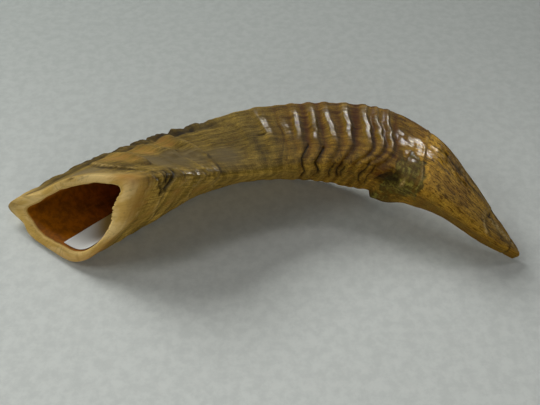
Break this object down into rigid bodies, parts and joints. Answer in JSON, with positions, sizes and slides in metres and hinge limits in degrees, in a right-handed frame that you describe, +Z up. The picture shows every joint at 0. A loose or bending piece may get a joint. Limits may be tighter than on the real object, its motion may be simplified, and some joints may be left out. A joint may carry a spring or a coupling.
{
  "type": "ram horn",
  "caption": "Hollow ram's horn sheath, bowed and twisted to a point, with growth ridges over the bow and a slanted open mouth, lying on its side.",
  "frame": {"origin": "centre of the bounding box in plan, on the surface that the horn lies on", "axes": "+X from the mouth to the tip, +Y away from the hollow side of the bow, +Z up"},
  "size_m": [0.2882, 0.096, 0.0426],
  "materials": {
    "horn": "dry horn, golden brown, satin to glossy on the ridge crests",
    "paper": "plain white paper, matte"
  },
  "bodies": {
    "root": {"ram_horn": "horn", "paper_slip": "paper"}
  },
  "joints": []
}
